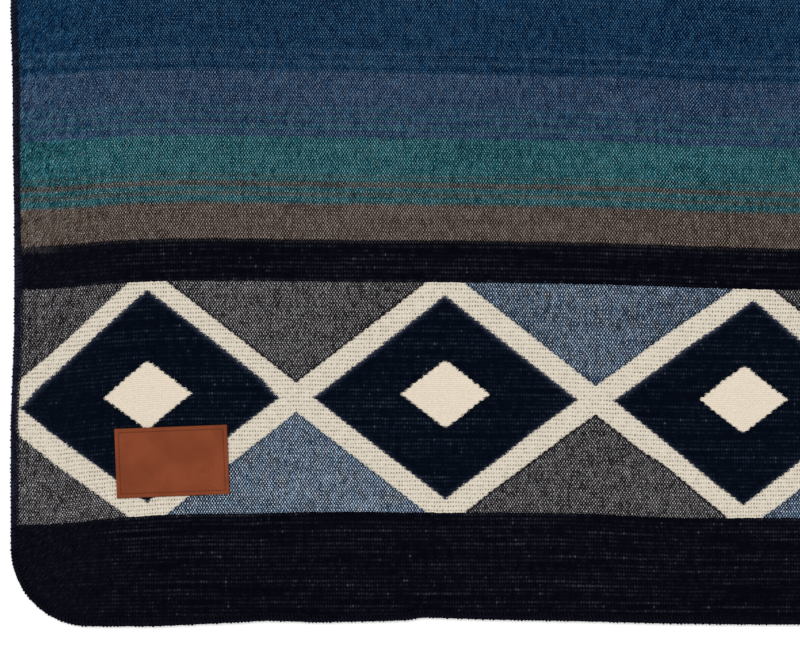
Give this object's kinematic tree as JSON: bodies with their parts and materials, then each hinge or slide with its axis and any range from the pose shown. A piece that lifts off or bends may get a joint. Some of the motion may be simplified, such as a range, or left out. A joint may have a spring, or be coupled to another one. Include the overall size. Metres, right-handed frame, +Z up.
{
  "type": "wool blanket",
  "caption": "Flat wool blanket with rounded corners, an overlocked edge, woven bands and a bare leather label near one corner.",
  "frame": {"origin": "on the surface the blanket lies on, under the middle of its outline", "axes": "+Z up, out of the blanket's face; +Y along its length, away from the labelled hem; +X across its width, away from the labelled side"},
  "size_m": [1.66, 2.28, 0.0079],
  "materials": {
    "wool_cloth": "brushed wool weave in deep blue, slate, teal, brown, black, grey and cream bands",
    "edge_yarn": "near-black wool yarn in overlock stitches",
    "label_leather": "russet brown leather with a fine pressed border"
  },
  "bodies": {
    "root": {"blanket_cloth": "wool_cloth", "edge_yarn": "edge_yarn", "leather_label": "label_leather"}
  },
  "joints": []
}
